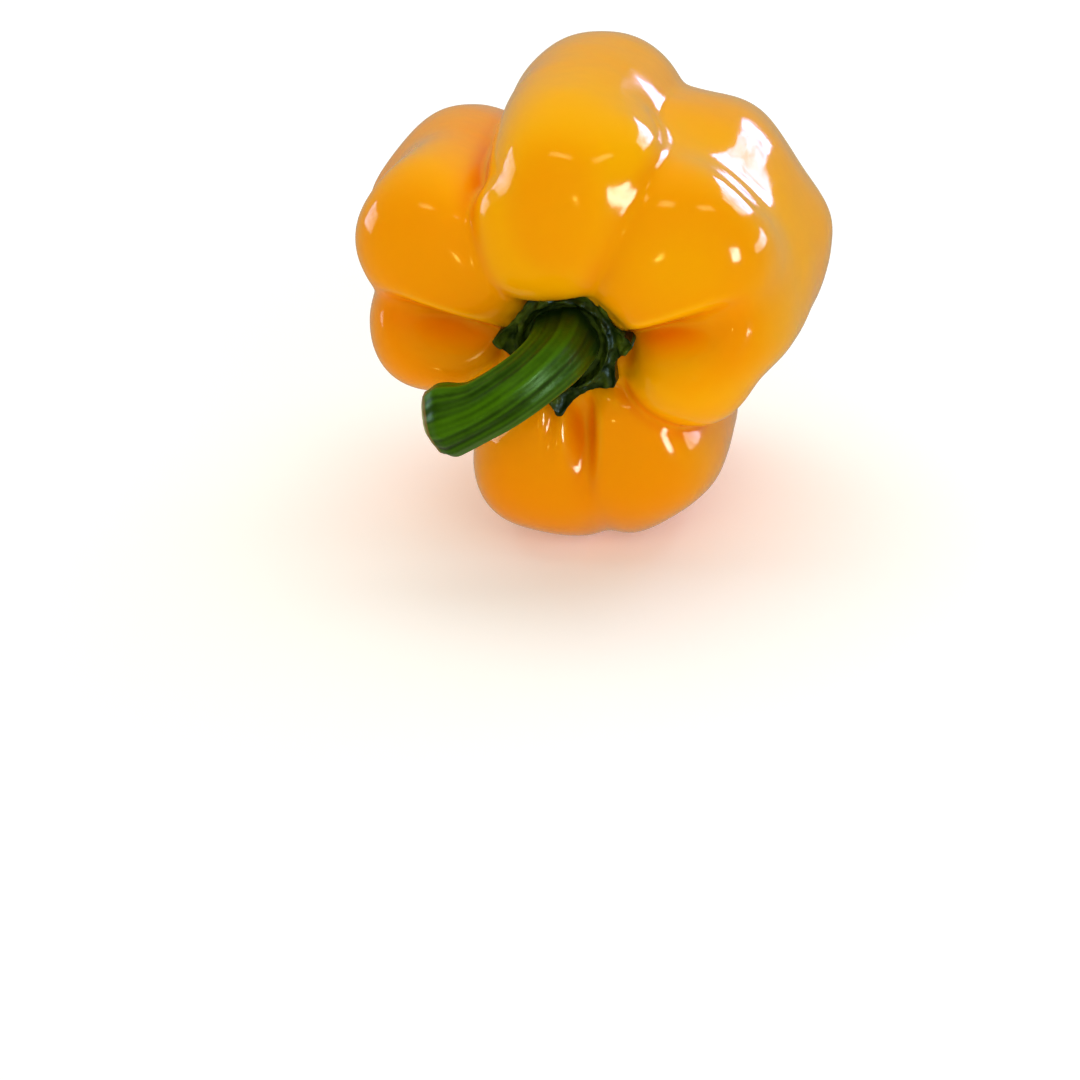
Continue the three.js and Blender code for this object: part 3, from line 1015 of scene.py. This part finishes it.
@dataclass
class Calyx:
    """The green calyx: a ring round the stem and a brim with tips that lie in the creases."""

    pose: FruitPose = POSE
    around: int = 300
    along: int = 110
    tips: tuple[Tip, ...] = (
        Tip(-36, 0.012), Tip(5, 0.013), Tip(57, 0.0116), Tip(118, 0.0108),
        Tip(178, 0.0126), Tip(222, 0.0124), Tip(268, 0.013),
    )
    waist: float = 0.0098
    tip_spread: float = 11.0
    centre: tuple[float, float] = (0.0, -0.0006)
    floor: float = 0.0022
    floor_radius: float = 0.0071
    collar: float = 0.0039
    collar_radius: float = 0.0082
    brim: float = 0.0032
    brim_radius: float = 0.0092
    tip_rise: float = 0.0022
    tip_start: float = 0.003
    depth: float = -0.006
    top_share: float = 0.75
    knob_height: float = 0.0007
    broad_knobs: float = 0.0034
    fine_knobs: float = 0.0016
    broad_share: float = 0.6
    knobs_fade: tuple[float, float] = (0.5, 0.62)
    knobs_end: float = 0.77
    finish: CalyxFinish = field(default_factory=CalyxFinish)

    def rim(self, turns: np.ndarray) -> np.ndarray:
        """Radius of the outline in some directions.

        Args:
            turns: radians round the axis.

        Returns:
            A radius per turn.
        """
        angles = np.degrees(turns)
        rim = np.full(len(turns), self.waist)
        for tip in self.tips:
            away = np.abs(turn_between(angles, tip.angle)) / self.tip_spread
            rim = np.maximum(rim, self.waist + (tip.reach - self.waist) * np.exp(-(away**1.5)))
        return rim

    def height(self, radii: np.ndarray, rim: np.ndarray) -> np.ndarray:
        """Height of the upper side above the floor of the bowl.

        Args:
            radii: how far the places are from the middle.
            rim: radius of the outline in their directions.

        Returns:
            A height per place.
        """
        rise = smooth_step(radii, self.floor_radius, self.collar_radius)
        ring = self.floor + (self.collar - self.floor) * rise
        drop = (self.brim - self.collar) * smooth_step(radii, self.collar_radius, self.brim_radius)
        climb = np.maximum(radii - self.brim_radius, 0.0) / (rim - self.brim_radius + TINY)
        pointed = np.clip((rim - self.waist) / self.tip_start, 0.0, 1.0)
        return ring + drop + self.tip_rise * climb**2 * pointed

    def place(self, turns: np.ndarray, ways: np.ndarray) -> np.ndarray:
        """Places on the calyx, over its upper side, round the rim and back underneath.

        Args:
            turns: radians round the axis.
            ways: 0 in the middle of the upper side, 1 underneath.

        Returns:
            One point per turn and way.
        """
        rim = self.rim(turns)
        share = np.where(ways < self.top_share, ways / self.top_share, (1.0 - ways) / (1.0 - self.top_share))
        radii = rim * share
        height = np.where(ways <= self.top_share, self.height(radii, rim), self.depth)
        return np.stack([
            self.centre[0] + radii * np.cos(turns),
            self.centre[1] + radii * np.sin(turns),
            SEAT_HEIGHT + height,
        ], axis=1)

    def build(self) -> bpy.types.Object:
        """Models and dresses the calyx.

        Returns:
            The piece.
        """
        mesh = SkinMesh("pepper_calyx", self.around, self.along, self.place)
        knobs = wander(mesh.places, self.broad_knobs, seed=11) * self.broad_share
        knobs += wander(mesh.places, self.fine_knobs, seed=12) * (1.0 - self.broad_share)
        outside = smooth_step(mesh.ways, *self.knobs_fade) * (mesh.ways < self.knobs_end)
        mesh.remember("raised", np.clip(knobs * 0.5 + 0.5, 0.0, 1.0))
        lift = knobs * outside * self.knob_height
        mesh.write(mesh.places + mesh.read("vector") * lift[:, None])
        mesh.lay_down(self.pose)
        mesh.finish(self.finish.material(), Slot.CALYX, "calyx")
        return mesh.piece


@dataclass
class Stem:
    """The bent stem: ridged and twisted, flared at its dry cut end."""

    pose: FruitPose = POSE
    around: int = 240
    along: int = 260
    path: tuple[tuple[float, float, float], ...] = (
        (0.0, 0.0, 0.0025), (0.0001, -0.0002, 0.007), (-0.0014, -0.0014, 0.013),
        (-0.0062, -0.0047, 0.0176), (-0.013, -0.0088, 0.0188), (-0.0206, -0.0114, 0.0182),
    )
    line_steps: int = 400
    base_radius: float = 0.0063
    waist_radius: float = 0.0054
    end_radius: float = 0.0071
    rounding: float = 0.18
    rounding_start: float = 0.88
    flare_start: float = 0.72
    ridges: int = 5
    ridge_depth: float = 0.055
    fine_ridge: float = 0.35
    broad_strands: int = 19
    narrow_strands: int = 31
    twist: float = 40.0
    cap_share: float = 0.12
    cut_bulge: float = 0.0019
    rim_width: float = 0.015
    cut_fade: float = 0.02
    finish: StemFinish = field(default_factory=StemFinish)

    def middle_line(self, shares: np.ndarray) -> tuple[np.ndarray, np.ndarray, np.ndarray, np.ndarray]:
        """The stem's middle line and its cross directions.

        Args:
            shares: shares of the length, 0 at the base.

        Returns:
            Centres, tangents and two cross directions, one row per share.
        """
        knots = np.array(self.path)
        steps = self.line_steps // (len(knots) - 1)
        ends = np.vstack([2 * knots[0] - knots[1], knots, 2 * knots[-1] - knots[-2]])
        pieces = []
        for i in range(len(knots) - 1):
            a, b, c, d = ends[i : i + 4]
            t = np.linspace(0.0, 1.0, steps, endpoint=False)[:, None]
            bend = (2 * a - 5 * b + 4 * c - d) * t**2 + (3 * b - a - 3 * c + d) * t**3
            pieces.append(0.5 * (2 * b + (c - a) * t + bend))
        line = np.vstack(pieces + [knots[-1:]])
        lengths = np.concatenate([[0.0], np.cumsum(np.linalg.norm(np.diff(line, axis=0), axis=1))])
        lengths /= lengths[-1]
        tangents = np.gradient(line, axis=0)
        tangents /= np.linalg.norm(tangents, axis=1)[:, None]
        side = np.array([1.0, 0.0, 0.0])
        sides = []
        for tangent in tangents:
            side = side - tangent * (side @ tangent)
            side /= np.linalg.norm(side)
            sides.append(side)
        sides = np.array(sides)
        others = np.cross(tangents, sides)
        return tuple(rows_at(shares, lengths, rows) for rows in (line, tangents, sides, others))

    def radius(self, shares: np.ndarray) -> np.ndarray:
        """Radius of the stem along its length.

        Args:
            shares: shares of the length, 0 at the base.

        Returns:
            A radius per share.
        """
        slim = self.base_radius + (self.waist_radius - self.base_radius) * smooth_step(shares, 0.0, 0.5)
        flared = slim + (self.end_radius - slim) * smooth_step(shares, self.flare_start, 1.0)
        return flared * (1.0 - self.rounding * smooth_step(shares, self.rounding_start, 1.0) ** 2)

    def ridge(self, turns: np.ndarray, shares: np.ndarray) -> np.ndarray:
        """Ridges and furrows, from -1 in a furrow to 1 on a ridge.

        Args:
            turns: radians round the stem.
            shares: shares of the length, 0 at the base.

        Returns:
            A height per place.
        """
        turned = turns + math.radians(self.twist) * shares
        broad = np.cos(self.ridges * turned)
        fine = np.cos(3 * self.ridges * turned + 1.3) * self.fine_ridge
        return (broad + fine) / (1.0 + self.fine_ridge)

    def strand(self, turns: np.ndarray, shares: np.ndarray) -> np.ndarray:
        """Fine lengthwise lines, from 0 to 1.

        Args:
            turns: radians round the stem.
            shares: shares of the length, 0 at the base.

        Returns:
            A lightness per place.
        """
        turned = turns + math.radians(self.twist) * shares
        narrow = np.cos(self.narrow_strands * turned + 2.0 * np.sin(5.0 * shares))
        broad = np.cos(self.broad_strands * turned + 1.7 + 3.0 * shares)
        return 0.5 + 0.25 * (narrow + broad)

    def shares(self, ways: np.ndarray) -> np.ndarray:
        """Share of the length at each way from the cut end to the base."""
        return 1.0 - np.clip((ways - self.cap_share) / (1.0 - 2.0 * self.cap_share), 0.0, 1.0)

    def place(self, turns: np.ndarray, ways: np.ndarray) -> np.ndarray:
        """Places on the stem: the cut face, the ridged side and the base.

        Args:
            turns: radians round the stem.
            ways: 0 in the middle of the cut face, 1 at the base.

        Returns:
            One point per turn and way.
        """
        shares = self.shares(ways)
        centres, tangents, sides, others = self.middle_line(shares)
        fill = np.clip(np.minimum(ways, 1.0 - ways) / self.cap_share, 0.0, 1.0)
        ridges = 1.0 + self.ridge_depth * self.ridge(turns, shares)
        radii = self.radius(shares) * ridges * fill
        bulge = np.where(ways < self.cap_share, self.cut_bulge * (1.0 - fill**2), 0.0)
        placed = centres + sides * (radii * np.cos(turns))[:, None]
        placed += others * (radii * np.sin(turns))[:, None]
        return placed + tangents * bulge[:, None] + np.array([0.0, 0.0, SEAT_HEIGHT])

    def build(self) -> bpy.types.Object:
        """Models and dresses the stem.

        Returns:
            The piece.
        """
        mesh = SkinMesh("pepper_stem", self.around, self.along, self.place)
        shares = self.shares(mesh.ways)
        on_cut = mesh.ways < self.cap_share
        mesh.remember("along", shares)
        mesh.remember("raised", self.ridge(mesh.turns, shares) * 0.5 + 0.5)
        mesh.remember("strand", self.strand(mesh.turns, shares))
        mesh.remember("cut", on_cut * smooth_step(self.cap_share - mesh.ways, 0.0, self.cut_fade))
        mesh.remember("rim", np.exp(-(((mesh.ways - self.cap_share) / self.rim_width) ** 2)))
        mesh.lay_down(self.pose)
        mesh.finish(self.finish.material(), Slot.STEM, "stem")
        return mesh.piece


@dataclass(frozen=True)
class Pane:
    """A bright pane of the stage: it faces the fruit, turned by tilt degrees in its own plane."""

    name: str
    place: tuple[float, float, float]
    size: tuple[float, float]
    tilt: float
    tone: tuple[float, float, float]
    strength: float


@dataclass(frozen=True)
class Lamp:
    """A soft rectangular light of some watts that looks at the fruit; the skin may mirror it."""

    name: str
    place: tuple[float, float, float]
    size: tuple[float, float]
    power: float
    mirrored: bool


@dataclass
class Studio:
    """A pale floor, soft light and the camera at the photograph's angle."""

    photo_side: int = 1080
    seat_pixel: tuple[float, float] = (566.0, 336.0)
    metres_per_pixel: float = 0.000181
    camera_distance: float = 0.7
    camera_elevation: float = 25.0
    sensor_millimetres: float = 36.0
    floor_size: float = 6.0
    lamps: tuple[Lamp, ...] = (
        Lamp("ceiling_light", (0.0, 0.45, 1.5), (2.6, 1.8), 22.0, mirrored=False),
        Lamp("front_light", (0.1, -1.7, 0.9), (2.2, 1.4), 12.0, mirrored=False),
        Lamp("lamp", (-0.36, -1.45, 0.1), (0.07, 0.07), 0.35, mirrored=True),
    )
    lamps_aim: tuple[float, float, float] = (0.0, 0.0, 0.045)
    panes: tuple[Pane, ...] = (
        Pane("window", (0.72, 0.61, 0.55), (1.04, 0.36), -34.0, (0.88, 0.98, 2.1), 9.0),
        Pane("low_pane", (0.74, -0.82, 0.15), (0.26, 0.28), 0.0, (0.8, 0.9, 3.6), 30.0),
        Pane("left_pane", (-1.1, 0.36, 0.22), (0.7, 0.34), 0.0, (0.8, 0.95, 1.8), 5.0),
        Pane("high_left_pane", (-0.3, -0.64, 1.00), (0.36, 0.16), 0.0, (0.9, 0.95, 1.8), 6.0),
        Pane("high_right_pane", (0.46, -0.62, 0.96), (0.4, 0.14), 0.0, (0.9, 0.95, 1.8), 6.0),
        Pane("right_pane", (1.08, 0.3, 0.12), (0.9, 0.18), 0.0, (0.88, 0.96, 1.8), 8.0),
    )
    world_tone: Colour = (1.0, 0.92, 0.7, 1.0)
    world_strength: float = 0.4
    floor: FloorFinish = field(default_factory=FloorFinish)

    def camera_axes(self) -> tuple[Vector, Vector, Vector]:
        """Directions to the right, up and back of the camera.

        Returns:
            The three directions.
        """
        rise = math.radians(self.camera_elevation)
        back = Vector((0.0, -math.cos(rise), math.sin(rise)))
        right = Vector((1.0, 0.0, 0.0))
        return right, back.cross(right), back

    def add_camera(self) -> None:
        """Puts the camera where the stem's seat falls on its pixel of the photograph."""
        right, up, back = self.camera_axes()
        seat = Vector(POSE.to_part(np.array([[0.0, 0.0, SEAT_HEIGHT]]))[0])
        middle = self.photo_side / 2.0
        aim = seat - right * (self.seat_pixel[0] - middle) * self.metres_per_pixel
        aim += up * (self.seat_pixel[1] - middle) * self.metres_per_pixel
        data = bpy.data.cameras.new("camera")
        data.sensor_width = self.sensor_millimetres
        data.lens = data.sensor_width * self.camera_distance / (self.photo_side * self.metres_per_pixel)
        camera = bpy.data.objects.new("camera", data)
        bpy.context.scene.collection.objects.link(camera)
        camera.location = aim + back * self.camera_distance
        camera.rotation_euler = back.to_track_quat("Z", "Y").to_euler()
        bpy.context.scene.camera = camera

    def add_floor(self) -> None:
        """Adds the floor, which the skin doesn't mirror."""
        bpy.ops.mesh.primitive_plane_add(size=self.floor_size, location=(0.0, 0.0, 0.0))
        floor = bpy.context.object
        floor.name = "floor"
        floor.data.materials.append(self.floor.material())
        floor.visible_glossy = False

    def add_lamp(self, lamp: Lamp) -> None:
        """Adds a soft light.

        Args:
            lamp: the light.
        """
        data = bpy.data.lights.new(lamp.name, "AREA")
        data.shape = "RECTANGLE"
        data.size, data.size_y = lamp.size
        data.energy = lamp.power
        light = bpy.data.objects.new(lamp.name, data)
        bpy.context.scene.collection.objects.link(light)
        light.location = lamp.place
        aim = Vector(self.lamps_aim) - Vector(lamp.place)
        light.rotation_euler = aim.to_track_quat("-Z", "Y").to_euler()
        light.visible_glossy = lamp.mirrored

    def add_pane(self, pane: Pane) -> None:
        """Adds a bright pane that the skin mirrors.

        Args:
            pane: the pane.
        """
        bpy.ops.mesh.primitive_plane_add(size=1.0, location=(0.0, 0.0, 0.0))
        piece = bpy.context.object
        piece.name = pane.name
        place = Vector(pane.place)
        turn = place.to_track_quat("Z", "Y").to_matrix().to_4x4()
        width, height = pane.size
        turn = turn @ Matrix.Rotation(math.radians(pane.tilt), 4, "Z")
        piece.data.transform(Matrix.Translation(place) @ turn @ Matrix.Diagonal((width, height, 1.0, 1.0)))
        piece.data.materials.append(WindowFinish(pane.tone + (1.0,), pane.strength).material())
        piece.visible_diffuse = False

    def build(self) -> None:
        """Sets the stage."""
        world = bpy.data.worlds.new("studio")
        bpy.context.scene.world = world
        world.use_nodes = True
        background = world.node_tree.nodes["Background"]
        background.inputs["Color"].default_value = self.world_tone
        background.inputs["Strength"].default_value = self.world_strength
        self.add_floor()
        self.add_camera()
        for pane in self.panes:
            self.add_pane(pane)
        for lamp in self.lamps:
            self.add_lamp(lamp)
        bpy.context.scene.view_settings.view_transform = "Standard"


def main() -> None:
    """Builds the pieces in order and sets the stage."""
    for maker in (Fruit(), Calyx(), Stem()):
        piece = maker.build()
        LOG.info("%s: %d faces", piece.name, len(piece.data.polygons))
    Studio().build()


if __name__ == "__main__":
    logging.basicConfig(level=logging.INFO, format="%(name)s %(message)s")
    main()
